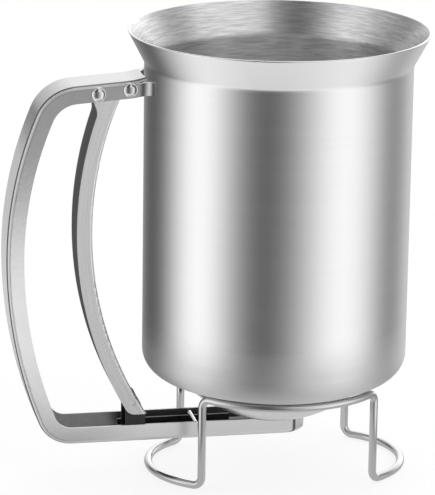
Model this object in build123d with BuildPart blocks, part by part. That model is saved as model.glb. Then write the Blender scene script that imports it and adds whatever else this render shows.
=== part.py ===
"""Batter dispenser: an open steel cup with a flared mouth and a dished funnel base, carried
by one long formed-channel handle. The channel leaves the cup below the mouth, runs round
the grip and comes back under the funnel as an upward-open tray. A trigger lever inside the
loop swings on a rivet and draws a gate plate along the tray, which uncovers the outlet.
The cup stands in a loose bent-wire stand.

Frame: millimetres, +Z up, z = 0 on the table, the Z axis through the middle of the cup and
the handle towards -X. "Station" is a distance from the cup axis towards the handle.
"""

import os
from math import acos, asin, atan, atan2, cos, degrees, hypot, radians, sin, sqrt, tan

from build123d import *

os.makedirs("parts", exist_ok=True)

# ---- Cup ------------------------------------------------------------------------------
body_radius = 50.0  # outside of the straight wall
cup_sheet = 0.8
rim_radius = 56.2  # outside of the mouth
rim_height = 169.0
flare_rise = 11.8  # from the end of the straight wall up to the mouth
neck_bend = 4.0
base_height = 37.6  # underside of the cup's flat base ring
shoulder_bend = 9.0
base_ring = 13.6  # from the wall in to the edge of the hole in the base
edge_round = 0.3

# ---- Funnel dish, welded under the cup's base ring --------------------------------------
dish_inset = 10.6  # from the cup's wall in to the dish's edge
dish_flange = 2.0  # width of the flat that is welded to the base ring
dish_curve = 52.0  # radius of the bowl's section
dish_rim_bend = 1.5
outlet_radius = 5.4  # bore of the outlet
outlet_shoulder_height = 19.7  # where the bowl turns down into the outlet
outlet_bend = 2.0

# ---- Handle: one channel section, open towards the inside of the loop -------------------
handle_width = 17.7
handle_sheet = 1.0
handle_depth = 6.5  # height of the flanges
handle_bend = 1.6  # outside bend between web and flanges
grip_clearance = 53.0  # from the cup's wall to the outermost point of the grip
grip_height = 86.0  # height of that point
lower_grip_curve = 172.0
upper_grip_curve = 143.0
lower_corner = 13.2
upper_corner = 17.0
channel_underside = 14.4
channel_nose = 12.0  # how far the tray runs past the cup axis
top_run_gap, top_run_drop = 27.0, 17.2  # a point on the top run, from wall and mouth
top_run_slope = 4.3  # degrees, rising towards the cup
flare_gap = 7.5  # from the cup's wall to where the web turns up towards it
flare_slope = 12.5
flare_curve = 25.0
web_gap = 1.8  # open gap between the end of the web and the cup
ear_azimuth = 13.5  # degrees round the cup from the handle to each spot-welded ear
ear_bend = 5.0  # radius of the outward bend, in the middle of the sheet
ear_land = 1.8  # flat of the ear past its contact line
weld_gap = 0.02

# ---- Rivets -----------------------------------------------------------------------------
rivet_radius = 1.3
rivet_head_radius = 2.45
rivet_head_height = 1.7
pivot_gap, pivot_drop = 19.0, 20.4  # the trigger's pivot, from the cup's wall and mouth
stop_gap, stop_drop = 7.2, 19.0
rivet_fit = 0.02
running_fit = 0.08

# ---- Trigger lever ----------------------------------------------------------------------
lever_gap = 0.95  # between the lever and each flange of the handle
lever_sheet = 0.9
lever_depth = 5.8
lever_curve = 131.5  # outside radius of the web
lever_lead = 1.8  # from the pivot out to the web's outermost point
waist_drop = 53.1  # from the pivot down to that point
lever_tip_height = 24.4
lever_tip_round = 4.0
lever_web_end = 33.5  # the web stops here, so that the yoke can enter
lever_bend = 1.0
head_radius = 2.5  # ear round the pivot
head_blend = 5.0
neck_drop = 7.6  # from the pivot down to where the lever starts to widen to its head
stop_relief = 1.4  # space between the lever and the stop rivet
trigger_swing = 7.0  # degrees

# ---- Return spring ----------------------------------------------------------------------
spring_wire = 0.6
spring_curve = 2.1  # radius of the coil, in the middle of the wire
spring_pitch = 0.75
spring_full_turns = 4
spring_arm_drop = 12.6  # from the pivot down to where the arm presses on the lever's web
spring_tail = 1.0
spring_gap = 0.05

# ---- Gate plate, yoke and pins ----------------------------------------------------------
gate_gap = 0.2  # above and below the plate
gate_side_gap = 0.25
gate_sheet = 1.0
gate_nose = 8.5  # reach past the cup axis when closed
gate_land = 4.0  # past the link pin, at the other end
gate_bend = 0.9
lip_start = 24.0  # the side lips start this far behind the nose
guide_pin_radius = 0.7
guide_pin_station, guide_pin_height = 30.7, 19.3
link_height = 29.0
link_inset = 1.95  # from the outside of the lever's web
link_pin_radius = 1.0
link_slack = 0.2
yoke_gap = 0.4  # between the yoke and the inside of the lever
yoke_sheet = 1.0
yoke_length = 7.4
yoke_lead = 1.0  # how far the yoke's middle is nearer the cup than the link pin
yoke_wall = 1.2  # above the slot
yoke_lean = 3.3  # how far its cup side leans with the lever, above the lever's tip
yoke_round = 1.9
floor_hole_radius = 6.0

# ---- Wire stand -------------------------------------------------------------------------
stand_wire = 3.0
ring_inset = 7.8  # from the cup's wall in to the middle of the wire
seat_gap = 0.2
leg_azimuth = 39.8  # degrees from the plane of the handle
wire_bend = 3.5
foot_reach = 48.6  # middle of the wire at the outermost point of a foot
stand_turn = -2.1  # degrees; the loose stand sits a little askew
stand_shift = (1.0, -0.5)

# ---- Levels and widths that follow from the sizes above ----------------------------------
base_hole_radius = body_radius - base_ring
dish_rim_radius = body_radius - dish_inset
dish_radius = dish_rim_radius - dish_flange
ring_radius = body_radius - ring_inset
handle_reach = body_radius + grip_clearance
top_run_station = body_radius + top_run_gap
flare_station = body_radius + flare_gap
pivot_station = body_radius + pivot_gap
stop_station = body_radius + stop_gap
lever_station = pivot_station + lever_lead
neck_height = rim_height - flare_rise
top_run_height = rim_height - top_run_drop
pivot_height = rim_height - pivot_drop
stop_height = rim_height - stop_drop
lever_waist = pivot_height - waist_drop
neck_level = pivot_height - neck_drop
flange_face = handle_width / 2
channel_floor = channel_underside + handle_sheet
gate_bottom = channel_floor + gate_gap
gate_top = gate_bottom + gate_sheet
outlet_end = gate_top + gate_gap
outlet_outside = outlet_radius + cup_sheet
lip_top = guide_pin_height - guide_pin_radius - gate_gap
gate_width = handle_width - 2 * (handle_sheet + gate_side_gap)
lever_width = handle_width - 2 * (handle_sheet + lever_gap)
lever_inner_width = lever_width - 2 * lever_sheet
yoke_width = lever_inner_width - 2 * yoke_gap
rivet_dome = (rivet_head_radius**2 + rivet_head_height**2) / (2 * rivet_head_height)

lever_centre = (lever_curve - lever_station, lever_waist)
link_station = (
    sqrt((lever_curve + link_inset) ** 2 - (lever_waist - link_height) ** 2)
    - lever_centre[0]
)
yoke_station = link_station - yoke_lead
gate_tail = link_station + gate_land

# The link pin swings on the lever; the yoke only slides, so its slot takes up the rise.
link_arm = hypot(pivot_station - link_station, pivot_height - link_height)
link_lean = degrees(asin((pivot_station - link_station) / link_arm))
link_drop = link_arm * (1 - cos(radians(link_lean)))
gate_stroke = link_arm * (
    sin(radians(link_lean)) + sin(radians(trigger_swing - link_lean))
)

# ---- Side outline of the handle ----------------------------------------------------------
# Its arcs are tangent to each other, so each turn follows from the radii and heights.
lower_turn = degrees(
    acos((grip_height - channel_underside - lower_corner) / (lower_grip_curve - lower_corner))
)
tray_length = (
    channel_nose
    + handle_reach
    - lower_corner * sin(radians(lower_turn))
    - lower_grip_curve * (1 - sin(radians(lower_turn)))
)
upper_centre = (upper_grip_curve - handle_reach, grip_height)
run_rise = (upper_centre[0] + top_run_station) * sin(radians(top_run_slope)) + (
    top_run_height - upper_centre[1]
) * cos(radians(top_run_slope))
upper_turn = 90 - top_run_slope - degrees(
    acos((run_rise - upper_corner) / (upper_grip_curve - upper_corner))
)


def handle_outline(inset):
    """Draw the handle's web line in the open sketch line, moved into the loop by inset,
    from the nose of the tray to the cup, and return its two ends."""
    level = channel_underside + inset
    tray = Line((channel_nose, level), (channel_nose - tray_length, level))
    corner = JernArc(tray @ 1, tray % 1, lower_corner - inset, -lower_turn)
    lower = JernArc(corner @ 1, corner % 1, lower_grip_curve - inset, lower_turn - 90)
    upper = JernArc(lower @ 1, lower % 1, upper_grip_curve - inset, -upper_turn)
    shoulder = JernArc(
        upper @ 1, upper % 1, upper_corner - inset, upper_turn + top_run_slope - 90
    )
    run_length = (-flare_station - (shoulder @ 1).X) / cos(radians(top_run_slope))
    run = Line(shoulder @ 1, shoulder @ 1 + shoulder % 1 * run_length)
    flare = JernArc(run @ 1, run % 1, flare_curve + inset, flare_slope - top_run_slope)
    lip = Line(flare @ 1, flare @ 1 + flare % 1 * (flare_station - body_radius + cup_sheet))
    return tray @ 0, lip @ 1


def handle_band(inset_from, inset_to):
    """Face between two copies of the outline, in the open sketch."""
    with BuildLine() as band:
        outer_ends = handle_outline(inset_from)
        inner_ends = handle_outline(inset_to)
        for outer_end, inner_end in zip(outer_ends, inner_ends):
            Line(outer_end, inner_end)
    make_face(band.edges())


def tray_plan(half_width):
    """Plan of the handle with the round nose of the tray, in the open sketch."""
    nose_centre = channel_nose - flange_face
    with Locations((nose_centre, 0)):
        Rectangle(
            handle_reach + nose_centre,
            2 * half_width,
            align=(Align.MAX, Align.CENTER),
        )
        Circle(half_width)


def web_edges(part, inset, half_width):
    """Edges between the web face at this inset and the flange faces at half_width."""
    with BuildLine() as line:
        handle_outline(inset)
    found = []
    for edge in part.edges().filter_by(Axis.Y, reverse=True):
        middle = edge @ 0.5
        on_line = line.line.distance_to(Vector(middle.X, middle.Z)) < 0.01
        past_nose = abs(middle.Z - channel_underside - inset) < 0.01 and middle.X > 0
        if (on_line and abs(abs(middle.Y) - half_width) < 0.01) or past_nose:
            found.append(edge)
    return found


# ---- Cup shell --------------------------------------------------------------------------
with BuildPart() as cup_shell:
    with BuildSketch(Plane.XZ):
        with BuildLine():
            FilletPolyline(
                (base_hole_radius, base_height),
                (body_radius, base_height),
                (body_radius, neck_height),
                (rim_radius, rim_height),
                radius=(shoulder_bend, neck_bend),
            )
            offset(amount=cup_sheet, side=Side.LEFT)
        make_face()
    revolve(axis=Axis.Z)
    rim_edges = cup_shell.edges().filter_by(GeomType.CIRCLE).group_by(Axis.Z)[-2:]
    fillet(rim_edges[0] + rim_edges[1], radius=edge_round)
cup_shell.part.label = "cup_shell"
export_step(cup_shell.part, "parts/cup_shell.step")

# ---- Funnel dish ------------------------------------------------------------------------
flange_under = base_height - cup_sheet
with BuildPart() as funnel_dish:
    with BuildSketch(Plane.XZ):
        with BuildLine() as dish_skin:
            weld_flange = Line((dish_rim_radius, flange_under), (dish_radius, flange_under))
            bowl = RadiusArc(
                weld_flange @ 1, (outlet_outside, outlet_shoulder_height), dish_curve
            )
            Line(bowl @ 1, (outlet_outside, outlet_end))
            corners = dish_skin.vertices()
            fillet(corners.sort_by_distance(bowl @ 0)[0], radius=dish_rim_bend)
            fillet(corners.sort_by_distance(bowl @ 1)[0], radius=outlet_bend)
            offset(amount=cup_sheet, side=Side.RIGHT)
        make_face()
    revolve(axis=Axis.Z)
funnel_dish.part.label = "funnel_dish"
export_step(funnel_dish.part, "parts/funnel_dish.step")

# The space that the dish fills, from its outer skin up, with the gap for its weld.
with BuildPart() as dish_room:
    with BuildSketch(Plane.XZ):
        with BuildLine():
            skin = RadiusArc(
                (dish_radius, flange_under - weld_gap),
                (outlet_outside, outlet_shoulder_height - weld_gap),
                dish_curve,
            )
            Polyline(
                skin @ 1,
                (0, outlet_shoulder_height - weld_gap),
                (0, flange_under),
                (dish_radius, flange_under),
                skin @ 0,
            )
        make_face()
    revolve(axis=Axis.Z)

# ---- Handle ears ------------------------------------------------------------------------
# The flanges turn outwards at the cup and end in two flats that are tangent to its wall.
land_distance = body_radius + weld_gap + handle_sheet
land_normal = Vector(-cos(radians(ear_azimuth)), sin(radians(ear_azimuth)))
land_along = Vector(sin(radians(ear_azimuth)), cos(radians(ear_azimuth)))
land_foot = land_normal * land_distance
turn_point = land_foot + land_along * ((flange_face - land_foot.Y) / land_along.Y)
turn_length = (ear_bend - handle_sheet / 2) * tan(radians(90 - ear_azimuth) / 2)
ear_joint = turn_point.X - turn_length
with BuildPart() as ears:
    with BuildSketch(Plane.XY.offset(pivot_height - handle_depth)):
        with BuildLine():
            FilletPolyline(
                (ear_joint - handle_sheet, flange_face),
                (turn_point.X, turn_point.Y),
                tuple(land_foot + land_along * ear_land),
                radius=ear_bend - handle_sheet / 2,
            )
            offset(amount=handle_sheet, side=Side.RIGHT)
        make_face()
        mirror(about=Plane.XZ)
    extrude(amount=3 * handle_depth)
    with BuildSketch(Plane.XZ):
        handle_band(handle_bend, handle_depth)
    extrude(amount=handle_width, both=True, mode=Mode.INTERSECT)

# ---- Handle channel ---------------------------------------------------------------------
inner_face = flange_face - handle_sheet
with BuildPart() as handle_core:
    with BuildSketch(Plane.XZ):
        handle_band(handle_sheet, handle_depth + handle_sheet)
    extrude(amount=inner_face, both=True)
    with BuildSketch(Plane.XY):
        tray_plan(inner_face)
    extrude(amount=rim_height, mode=Mode.INTERSECT)
    fillet(
        web_edges(handle_core.part, handle_sheet, inner_face),
        radius=handle_bend - handle_sheet,
    )

with BuildPart() as handle_channel:
    with BuildSketch(Plane.XZ):
        handle_band(0, handle_depth)
    extrude(amount=flange_face, both=True)
    with BuildSketch(Plane.XY):
        tray_plan(flange_face)
    extrude(amount=rim_height, mode=Mode.INTERSECT)
    fillet(web_edges(handle_channel.part, 0, flange_face), radius=handle_bend)
    add(handle_core.part, mode=Mode.SUBTRACT)
    # The flanges stop at the ears; the web runs on to a curved end beside the cup.
    with BuildSketch(Plane.XZ):
        with BuildLine():
            cut_start, cut_end = handle_outline(handle_sheet)
            Polyline(cut_end, (cut_end.X, grip_height), (cut_start.X, cut_start.Y))
        make_face()
        with Locations((ear_joint, grip_height)):
            Rectangle(body_radius, rim_height, align=Align.MIN, mode=Mode.INTERSECT)
    extrude(amount=handle_width, both=True, mode=Mode.SUBTRACT)
    with BuildSketch(Plane.XY.offset(grip_height)):
        Circle(body_radius + web_gap)
    extrude(amount=rim_height, mode=Mode.SUBTRACT)
    add(ears.part)
    add(dish_room.part, mode=Mode.SUBTRACT)
    with BuildSketch(Plane.XZ):
        with Locations((-pivot_station, pivot_height), (-stop_station, stop_height)):
            Circle(rivet_radius + rivet_fit)
        with Locations((-guide_pin_station, guide_pin_height)):
            Circle(guide_pin_radius + rivet_fit)
    extrude(amount=handle_width, both=True, mode=Mode.SUBTRACT)
    with BuildSketch(Plane.XY.offset(channel_underside)):
        Circle(floor_hole_radius)
    extrude(amount=handle_sheet, mode=Mode.SUBTRACT)
handle_channel.part.label = "handle_channel"
export_step(handle_channel.part, "parts/handle_channel.step")


# ---- Rivets and pins, all across the handle ----------------------------------------------
def domed_rivet(station, height):
    """Rivet with two domed heads, in the open part."""
    centre = Plane((-station, 0, height))
    with BuildSketch(centre) as half:
        with BuildLine():
            Polyline(
                (rivet_head_radius, -flange_face),
                (rivet_radius, -flange_face),
                (rivet_radius, flange_face),
                (rivet_head_radius, flange_face),
            )
            for side in (-1, 1):
                RadiusArc(
                    (rivet_head_radius, side * flange_face),
                    (0, side * (flange_face + rivet_head_height)),
                    -side * rivet_dome,
                )
            Line(
                (0, -flange_face - rivet_head_height), (0, flange_face + rivet_head_height)
            )
        make_face()
    revolve(half.sketch, axis=Axis(centre.origin, (0, 1, 0)))


def cross_pin(station, height, radius, length):
    """Plain pin across the handle, with its edges broken, in the open part."""
    with BuildSketch(Plane.XZ) as disc:
        with Locations((-station, height)):
            Circle(radius)
    extrude(disc.sketch, amount=length / 2, both=True)
    ends = edges().filter_by(GeomType.CIRCLE)
    chamfer(ends, length=radius / 5)


with BuildPart() as pivot_rivet:
    domed_rivet(pivot_station, pivot_height)
pivot_rivet.part.label = "pivot_rivet"
export_step(pivot_rivet.part, "parts/pivot_rivet.step")

with BuildPart() as stop_rivet:
    domed_rivet(stop_station, stop_height)
stop_rivet.part.label = "stop_rivet"
export_step(stop_rivet.part, "parts/stop_rivet.step")

with BuildPart() as guide_pin:
    cross_pin(guide_pin_station, guide_pin_height, guide_pin_radius, handle_width)
guide_pin.part.label = "guide_pin"
export_step(guide_pin.part, "parts/guide_pin.step")

with BuildPart() as link_pin:
    cross_pin(link_station, link_height, link_pin_radius, lever_width)
link_pin.part.label = "link_pin"
export_step(link_pin.part, "parts/link_pin.step")

# ---- Trigger lever ----------------------------------------------------------------------
lever_inner_face = lever_inner_width / 2
neck_angle = radians(180) - asin((neck_level - lever_waist) / (lever_curve + lever_depth / 2))
neck = (
    lever_centre[0] + (lever_curve + lever_depth / 2) * cos(neck_angle),
    neck_level,
)
with BuildPart() as trigger_lever:
    with BuildSketch(Plane.XZ) as lever_side:
        with Locations(lever_centre):
            Circle(lever_curve + lever_depth)
            Circle(lever_curve, mode=Mode.SUBTRACT)
        with Locations((0, lever_tip_height)):
            Rectangle(
                2 * lever_station,
                2 * lever_station,
                align=(Align.MAX, Align.MIN),
                mode=Mode.INTERSECT,
            )
        with Locations(Location((-pivot_station, pivot_height), (0, 0, top_run_slope))):
            with Locations((0, head_radius)):
                Rectangle(
                    2 * lever_station,
                    2 * lever_station,
                    align=(Align.CENTER, Align.MAX),
                    mode=Mode.INTERSECT,
                )
        tip_corners = lever_side.vertices().group_by(Axis.Y)[0].sort_by(Axis.X)
        fillet(tip_corners[0], radius=lever_tip_round)
        with BuildSketch() as head:
            with Locations((-pivot_station, pivot_height)):
                Circle(head_radius)
            with Locations(neck):
                Circle(lever_depth / 2)
            make_hull()
            with Locations(Location((-pivot_station, pivot_height), (0, 0, top_run_slope))):
                Rectangle(lever_depth, 2 * head_radius, align=(Align.MIN, Align.CENTER))
        fillet(
            lever_side.vertices().sort_by_distance((neck[0] - lever_depth / 2, neck[1]))[0],
            radius=head_blend,
        )
    extrude(amount=lever_width / 2, both=True)
    web_lines = [
        edge
        for edge in trigger_lever.edges().filter_by(GeomType.CIRCLE)
        if abs(edge.radius - lever_curve) < 0.01
    ]
    fillet(web_lines, radius=lever_bend)
    # The inside of the channel, and the openings at the two ends of its web.
    with BuildSketch(Plane.XZ):
        with Locations((-pivot_station, lever_waist)):
            Rectangle(lever_station, 2 * lever_station)
        with Locations(lever_centre):
            Circle(lever_curve + lever_sheet, mode=Mode.SUBTRACT)
        with Locations((0, lever_web_end)):
            Rectangle(lever_station, lever_station, align=Align.MAX)
        with Locations((0, pivot_height)):
            Rectangle(lever_station, lever_station, align=(Align.MAX, Align.MIN))
    extrude(amount=lever_inner_face, both=True, mode=Mode.SUBTRACT)
    with BuildSketch(Plane.XZ):
        with Locations((-stop_station, stop_height)):
            Circle(rivet_radius + stop_relief)
        with Locations((-pivot_station, pivot_height)):
            Circle(rivet_radius + running_fit)
        with Locations((-link_station, link_height)):
            Circle(link_pin_radius + rivet_fit)
    extrude(amount=handle_width, both=True, mode=Mode.SUBTRACT)
trigger_lever.part.label = "trigger_lever"
export_step(trigger_lever.part, "parts/trigger_lever.step")

# ---- Return spring ----------------------------------------------------------------------
# The first arm runs from under the coil over the stop rivet. The second runs from the coil's
# grip side down to the inside of the lever's web.
wire_radius = spring_wire / 2
stop_offset = rivet_radius + wire_radius + spring_gap
stop_span = hypot(pivot_station - stop_station, stop_height - pivot_height)
first_rise = atan2(stop_height - pivot_height, pivot_station - stop_station) + asin(
    (spring_curve + stop_offset) / stop_span
)
first_length = sqrt(stop_span**2 - (spring_curve + stop_offset) ** 2) + spring_tail
press_drop = pivot_height - spring_arm_drop - lever_waist
press_station = (
    sqrt((lever_curve + lever_sheet) ** 2 - press_drop**2)
    - lever_centre[0]
    + wire_radius
    + spring_gap
)
press_span = hypot(pivot_station - press_station, spring_arm_drop)
second_lean = atan2(pivot_station - press_station, spring_arm_drop) - asin(
    spring_curve / press_span
)
second_length = sqrt(press_span**2 - spring_curve**2)
coil_turns = spring_full_turns + (270 + degrees(first_rise - second_lean)) / 360
coil_height = spring_pitch * coil_turns
coil_plane = Plane(
    origin=(-pivot_station, -coil_height / 2, pivot_height),
    x_dir=(sin(first_rise), 0, -cos(first_rise)),
    z_dir=(0, 1, 0),
)
coil = coil_plane * Helix(spring_pitch, coil_height, spring_curve)
with BuildPart() as return_spring:
    with BuildLine() as spring_line:
        add(coil)
        Line(coil @ 0, coil @ 0 - (coil % 0) * first_length)
        Line(coil @ 1, coil @ 1 + (coil % 1) * second_length)
    spring_path = spring_line.wires()[0]
    with BuildSketch(Plane(spring_path @ 0, z_dir=spring_path % 0)):
        Circle(wire_radius)
    sweep(path=spring_path)
return_spring.part.label = "return_spring"
export_step(return_spring.part, "parts/return_spring.step")

# ---- Gate plate -------------------------------------------------------------------------
gate_face = gate_width / 2
with BuildPart() as gate_plate:
    with BuildSketch(Plane.XY.offset(gate_bottom)) as gate_plan:
        with Locations((gate_nose - gate_face, 0)):
            Circle(gate_face)
            Rectangle(
                gate_tail + gate_nose - gate_face,
                gate_width,
                align=(Align.MAX, Align.CENTER),
            )
    extrude(amount=lip_top - gate_bottom)
    with BuildSketch(Plane.XY.offset(gate_top)):
        with Locations((gate_nose, 0)):
            Rectangle(
                2 * gate_tail,
                gate_width - 2 * gate_sheet,
                align=(Align.MAX, Align.CENTER),
            )
            Rectangle(lip_start, gate_width, align=(Align.MAX, Align.CENTER))
    extrude(amount=lip_top, mode=Mode.SUBTRACT)
    lower_edges = gate_plate.edges().group_by(Axis.Z)[0].filter_by(Axis.X)
    fillet(lower_edges, radius=gate_bend)
gate_plate.part.label = "gate_plate"
export_step(gate_plate.part, "parts/gate_plate.step")

# ---- Gate yoke --------------------------------------------------------------------------
slot_width = 2 * (link_pin_radius + link_slack)
yoke_top = link_height + slot_width / 2 + yoke_wall
with BuildPart() as gate_yoke:
    with BuildSketch(Plane.XZ) as yoke_side:
        with BuildLine():
            Polyline(
                (-yoke_station - yoke_length / 2, gate_top),
                (-yoke_station - yoke_length / 2, yoke_top),
                (-yoke_station + yoke_length / 2 - yoke_lean, yoke_top),
                (-yoke_station + yoke_length / 2, lever_tip_height),
                (-yoke_station + yoke_length / 2, gate_top),
                close=True,
            )
        make_face()
        fillet(yoke_side.vertices().group_by(Axis.Y)[-1], radius=yoke_round)
    extrude(amount=yoke_width / 2, both=True)
    fillet(gate_yoke.edges().group_by(Axis.Z)[0].filter_by(Axis.X), radius=yoke_sheet)
    with BuildSketch(Plane.XY.offset(gate_top + yoke_sheet)):
        with Locations((-yoke_station, 0)):
            Rectangle(2 * yoke_length, yoke_width - 2 * yoke_sheet)
    extrude(amount=yoke_top, mode=Mode.SUBTRACT)
    with BuildSketch(Plane.XZ):
        with Locations((-link_station, link_height - link_drop / 2)):
            SlotCenterToCenter(link_drop + link_slack, slot_width, rotation=90)
    extrude(amount=yoke_width, both=True, mode=Mode.SUBTRACT)
gate_yoke.part.label = "gate_yoke"
export_step(gate_yoke.part, "parts/gate_yoke.step")

# ---- Wire stand -------------------------------------------------------------------------
# The ring carries the cup at the front and the rear. At each side the wire bends down into
# two legs, which a curved foot joins on the table.
stand_radius = stand_wire / 2
ring_level = base_height - seat_gap - stand_radius
ring_end = radians(leg_azimuth) + atan(wire_bend / ring_radius)
ring_point = Vector(cos(ring_end), sin(ring_end)) * ring_radius
leg = ring_point + Vector(sin(ring_end), -cos(ring_end)) * wire_bend
foot_centre = (foot_reach**2 + wire_bend**2 - leg.X**2 - leg.Y**2) / (foot_reach - leg.X) / 2
foot_radius = foot_reach - foot_centre
foot_end = atan2(leg.Y, leg.X - foot_centre) - atan(wire_bend / foot_radius)
foot_point = Vector(foot_centre, 0) + Vector(cos(foot_end), sin(foot_end)) * foot_radius


def leg_corner(x_side, y_side, point, level, rise):
    """Quarter bend from a leg to the level wire that ends at this point."""
    centre = Vector(point.X * x_side, point.Y * y_side, level - rise * wire_bend)
    out = Vector((leg.X - point.X) * x_side, (leg.Y - point.Y) * y_side)
    up = Vector(0, 0, rise * wire_bend)
    return ThreePointArc(centre + out, centre + (out + up) * sqrt(0.5), centre + up)


with BuildPart() as wire_stand:
    with BuildLine() as loop:
        for y_side in (-1, 1):
            ThreePointArc(
                (-ring_point.X, y_side * ring_point.Y, ring_level),
                (0, y_side * ring_radius, ring_level),
                (ring_point.X, y_side * ring_point.Y, ring_level),
            )
        for x_side in (-1, 1):
            ThreePointArc(
                (x_side * foot_point.X, -foot_point.Y, stand_radius),
                (x_side * foot_reach, 0, stand_radius),
                (x_side * foot_point.X, foot_point.Y, stand_radius),
            )
            for y_side in (-1, 1):
                upper = leg_corner(x_side, y_side, ring_point, ring_level, 1)
                lower = leg_corner(x_side, y_side, foot_point, stand_radius, -1)
                Line(upper @ 0, lower @ 0)
    wire_path = loop.wires()[0]
    with BuildSketch(Plane(wire_path @ 0, z_dir=wire_path % 0)):
        Circle(stand_radius)
    sweep(path=wire_path)
wire_stand.part.locate(Location((*stand_shift, 0), (0, 0, stand_turn)))
wire_stand.part.label = "wire_stand"
export_step(wire_stand.part, "parts/wire_stand.step")

print("gate stroke", round(gate_stroke, 3), "mm in", trigger_swing, "degrees")
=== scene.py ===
"""Batter dispenser: brushed steel cup and funnel, channel handle with its trigger lever, gate
linkage and return spring, and the loose bent-wire stand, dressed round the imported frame."""

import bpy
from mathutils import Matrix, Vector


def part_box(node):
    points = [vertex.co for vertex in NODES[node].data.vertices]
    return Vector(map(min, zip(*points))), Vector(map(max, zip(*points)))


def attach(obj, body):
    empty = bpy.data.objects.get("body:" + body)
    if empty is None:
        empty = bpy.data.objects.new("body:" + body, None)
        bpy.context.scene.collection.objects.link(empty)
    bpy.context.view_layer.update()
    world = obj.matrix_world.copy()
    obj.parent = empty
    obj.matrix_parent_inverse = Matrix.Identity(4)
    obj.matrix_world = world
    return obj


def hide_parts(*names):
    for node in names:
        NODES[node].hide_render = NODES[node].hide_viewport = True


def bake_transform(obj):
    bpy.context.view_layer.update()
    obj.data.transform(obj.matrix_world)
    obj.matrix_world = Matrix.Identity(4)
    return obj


bl_info = {
    "name": "Batter dispenser",
    "version": (1, 0, 0),
    "blender": (4, 5, 0),
    "location": "3D View > Sidebar > Dispenser",
    "description": "Dresses the steel batter dispenser and sets its white studio",
    "category": "Object",
}

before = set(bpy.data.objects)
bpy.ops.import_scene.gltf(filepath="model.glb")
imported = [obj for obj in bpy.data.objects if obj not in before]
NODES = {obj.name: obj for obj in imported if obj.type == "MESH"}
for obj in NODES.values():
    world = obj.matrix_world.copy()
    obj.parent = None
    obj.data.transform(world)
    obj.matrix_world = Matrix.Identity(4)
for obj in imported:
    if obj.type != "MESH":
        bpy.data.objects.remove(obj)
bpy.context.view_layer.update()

from math import atan, atan2, cos, degrees, pi, radians, sin

import bmesh
import bpy
from bpy.props import FloatProperty, FloatVectorProperty, IntProperty, PointerProperty
from mathutils import Euler, Matrix, Vector

MM = 0.001

# ---- Mesh limits
MERGE_DISTANCE = 2e-6
FLAT_ANGLE = radians(0.2)  # faces that turn less than this become one
CUT_ANGLE = radians(40)  # a cut edge of a sheet turns more than this
SHARP_ANGLE = radians(50)  # an edge that stays sharp in shading turns more than this

# ---- Zones of a finish, as limits in millimetres along X (reach) and Z (rise)
FOOT_RISE = (43.0, 66.0)
TRAY_REACH, TRAY_RISE = (-98.0, -45.0), (20.0, 36.0)
GATE_REACH, GATE_RISE = (-64.0, -58.0), (24.0, 34.0)

# ---- Painted light and shade: how bright a zone is beside the plain steel, and the roughness of the painted bend highlight
# painted highlight: the outside of the handle's lower run is painted brighter, standing for the
# lit floor it reflects
TRAY_PAINTED_LIGHT = 1.7
# painted shade: the inside of the handle's channel is painted darker round the gate
GATE_ZONE_SHADE = 0.55
# painted shade over the middle of each bend of a sheet, and a painted highlight beside its flange
BEND_PAINTED_LIGHT = {"Painted Shade": 0.35, "Painted Highlight": 1.7}
BEND_HIGHLIGHT_ROUGHNESS = 0.6

# ---- Brushed steel: lines per millimetre, shares of the grain, and how roughness varies
SCORED_LINES = (0.13, 0.13, 1.7)
LINE_SHARE, BAND_SHARE = 0.6, 0.4
LEAST_ROUGHNESS, BAND_ROUGHNESS, SMUDGE_ROUGHNESS = 0.9, 0.12, 0.35
RELIEF_DEPTH = 0.02 * MM

# ---- Rivets: facets of a head and of a shank; a head's underside as a share of its dome
HEAD_SEGMENTS, HEAD_RINGS, SHANK_FACETS = 40, 20, 32
HEAD_UNDERSIDE = 0.05

# ---- Stand: radii along the middle of the wire, half the gap between the ring's arcs, the
# stand's place under the cup, and the steps in its route
RING_RADIUS, WIRE_BEND, FOOT_REACH = 42.2 * MM, 3.5 * MM, 48.6 * MM
RING_START = radians(39.8)
STAND_SHIFT, STAND_TURN = (1.0 * MM, -0.5 * MM, 0), radians(-2.1)
RING_STEPS, BEND_STEPS, FOOT_STEPS = 24, 10, 16

# ---- Light panels: turn from the camera and reach in degrees, sharpness of the edge, and
# the setting that gives the strength with the share of it that counts
WALL_PANELS = (
    (-70, 75, 4, "left_panel", 1.0),
    (61, 80, 3, "right_panel", 1.0),
    (160, 70, 3, "rear_panel", 1.0),
)
CEILING_PANELS = (
    (-19, 34, 0.5, "ceiling", -0.93),
    (-118, 34, 0.4, "ceiling", -0.8),
    (108, 24, 0.4, "ceiling", -0.75),
    (180, 80, 1, "rear_lift", 0.3),
)
REAR_GLOW = (168, 62, 1)

# ---- Rise or fall of a direction, as its sine, over which the room's light changes
REAR_RISE, CEILING_RISE, BELOW_FALL = (-0.15, 0.1), (0.3, 0.5), (0.5, 0.9)

# ---- Soft lamps of the handle: direction from the grip, distance, and width and height
HANDLE_LAMPS = {
    "grip_lamp": ((0.135, -0.95, -0.315), 0.5, (0.3, 0.1)),
    "web_lamp": ((-0.2, 0.975, -0.25), 1.2, (0.5, 0.45)),
}
GRIP_RISE = 0.08

# ---- Floor: half its width, and the limits in metres from the axis over which metal sees
# it turn from near to ring, from ring to far, and from the lit floor to the room
FLOOR_REACH = 12.0
NEAR_END, RING_END, LIT_END = (0.03, 0.05), (0.07, 0.1), (0.08, 0.12)


# ---- Node helpers ------------------------------------------------------------------------
def node(tree, kind, inputs=None, **settings):
    """Add a node, set its properties, and link or set its inputs."""
    made = tree.nodes.new(kind)
    made.location = (220 * (len(tree.nodes) % 12), -220 * (len(tree.nodes) // 12))
    for key, value in settings.items():
        setattr(made, key, value)
    for key, value in (inputs or {}).items():
        if isinstance(value, bpy.types.NodeSocket):
            tree.links.new(value, made.inputs[key])
        else:
            made.inputs[key].default_value = value
    return made


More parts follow.
